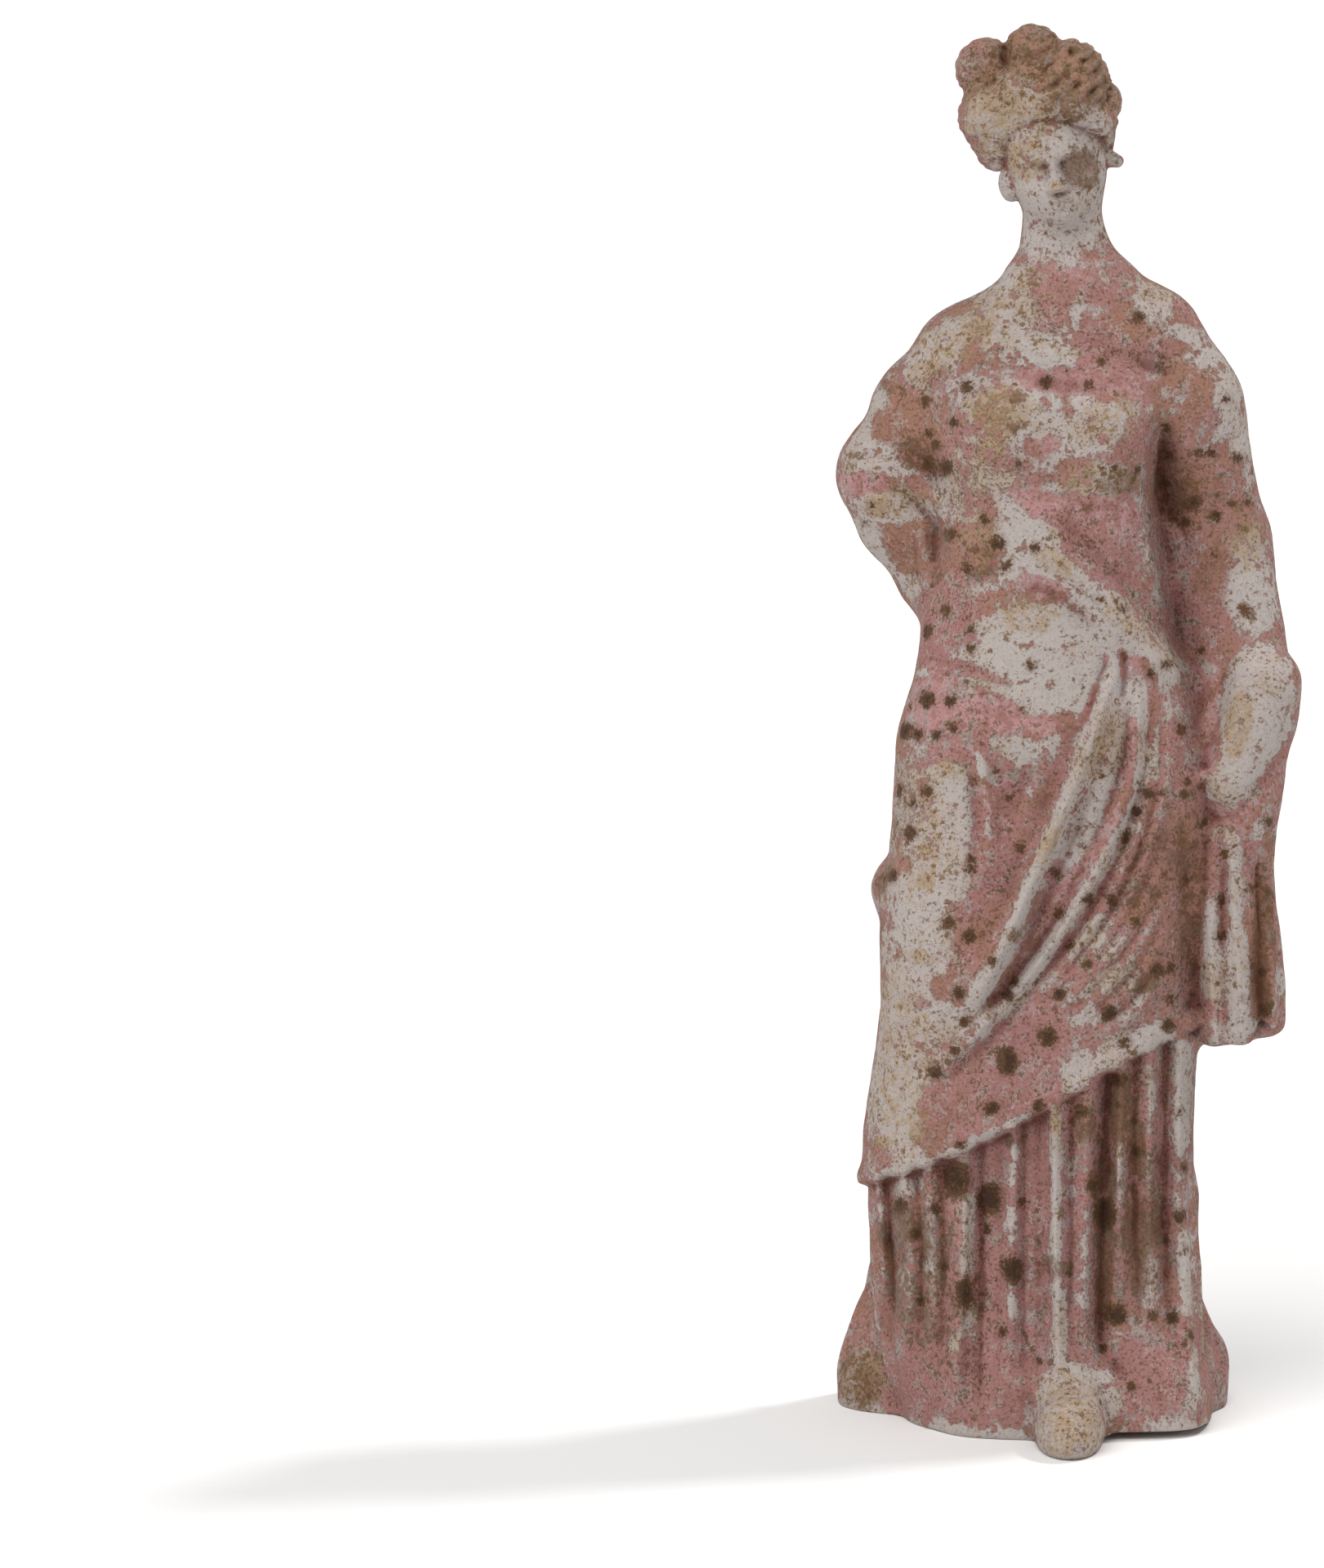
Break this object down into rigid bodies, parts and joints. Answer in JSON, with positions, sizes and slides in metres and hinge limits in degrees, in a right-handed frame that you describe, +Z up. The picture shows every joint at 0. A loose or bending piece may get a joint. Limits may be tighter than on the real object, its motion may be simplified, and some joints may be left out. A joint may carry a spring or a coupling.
{
  "type": "terracotta figurine",
  "caption": "Standing draped woman in painted terracotta, one arm akimbo under the cloak, the other hanging with the cloth, on a flat underside.",
  "frame": {"origin": "centre of the flat underside, between the ends of the hem", "axes": "+Z up through the figure, the front and the foot face -Y, and the bent arm is on the -X side"},
  "size_m": [0.0726, 0.0543, 0.2182],
  "materials": {
    "painted_terracotta": "matte, worn white slip and rose paint over pinkish brown clay"
  },
  "bodies": {
    "root": {"figurine": "painted_terracotta"}
  },
  "joints": []
}
